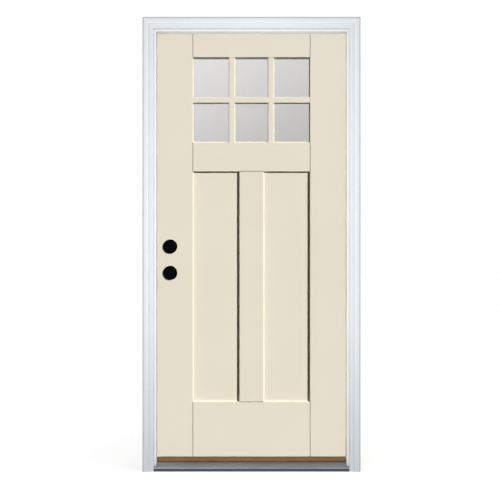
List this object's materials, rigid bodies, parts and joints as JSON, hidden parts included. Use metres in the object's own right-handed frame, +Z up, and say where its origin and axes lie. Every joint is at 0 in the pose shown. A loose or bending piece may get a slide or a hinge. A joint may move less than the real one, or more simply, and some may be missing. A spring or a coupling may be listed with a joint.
{
  "type": "panelled front door",
  "caption": "Panelled entrance door: moulded leaf with barred lites over sunk panels, bored for a lock, hung on butt hinges in a brick-moulded frame with seals, sill and adjustable cap.",
  "frame": {"origin": "on the floor, in the middle of the doorway, at the outer edge of the jambs", "axes": "+X across the doorway towards the hinges, +Y from outside to inside, +Z up"},
  "size_m": [1.011, 0.1609, 2.1085],
  "materials": {
    "jamb_white": "white primer on timber",
    "mould_white": "white, satin",
    "weatherstrip": "light grey foam with a smooth skin",
    "corner_pad": "dark grey foam",
    "sill_composite": "dark grey composite",
    "tread_metal": "mill finish, drawn",
    "cap_brown": "brown stain, satin",
    "screw_steel": "zinc plated",
    "hinge_steel": "satin nickel",
    "leaf_cream": "cream paint on moulded fibreglass, satin",
    "edge_timber": "bare laminated timber",
    "edge_composite": "bare composite",
    "foam": "rigid foam",
    "dam_plastic": "white",
    "setting_rubber": "black",
    "pane_glass": "clear, coated",
    "spacer_metal": "mill finish",
    "glazing_tape": "white foam tape",
    "cover_black": "black, satin",
    "sweep_rubber": "dark brown"
  },
  "bodies": {
    "frame": {"strike_jamb": "jamb_white", "hinge_jamb": "jamb_white", "head_jamb": "jamb_white", "strike_brick_mould": "mould_white", "hinge_brick_mould": "mould_white", "head_brick_mould": "mould_white", "strike_weatherstrip": "weatherstrip", "hinge_weatherstrip": "weatherstrip", "head_weatherstrip": "weatherstrip", "strike_corner_pad": "corner_pad", "hinge_corner_pad": "corner_pad", "sill_base": "sill_composite", "sill_tread": "tread_metal", "frame_screws": "screw_steel", "hinge_jamb_screws": "screw_steel", "top_hinge_jamb_leaf": "hinge_steel", "middle_hinge_jamb_leaf": "hinge_steel", "bottom_hinge_jamb_leaf": "hinge_steel", "top_hinge_pin": "hinge_steel", "middle_hinge_pin": "hinge_steel", "bottom_hinge_pin": "hinge_steel"},
    "sill_cap": {"sill_cap": "cap_brown", "jack_screws": "screw_steel"},
    "door_leaf": {"hinge_door_screws": "screw_steel", "top_hinge_door_leaf": "hinge_steel", "middle_hinge_door_leaf": "hinge_steel", "bottom_hinge_door_leaf": "hinge_steel", "exterior_skin": "leaf_cream", "interior_skin": "leaf_cream", "exterior_grille": "leaf_cream", "interior_grille": "leaf_cream", "lock_stile": "edge_timber", "hinge_stile": "edge_timber", "lock_block": "edge_timber", "top_edge_rail": "edge_composite", "bottom_edge_rail": "edge_composite", "foam_core": "foam", "glazing_dam": "dam_plastic", "setting_blocks": "setting_rubber", "outer_pane": "pane_glass", "inner_pane": "pane_glass", "pane_spacer": "spacer_metal", "exterior_glazing_tape": "glazing_tape", "interior_glazing_tape": "glazing_tape", "lock_bore_cover": "cover_black", "deadbolt_bore_cover": "cover_black", "door_sweep": "sweep_rubber"}
  },
  "joints": [
    {"name": "door_swing", "type": "hinge", "parent": "frame", "child": "door_leaf", "pos_m": [0.4556, 0.1228, 1], "axis": [0, 0, -1], "range_deg": [0, 170]},
    {"name": "sill_cap_adjust", "type": "slide", "parent": "frame", "child": "sill_cap", "axis": [0, 0, 1], "range_m": [-0.004, 0]}
  ]
}
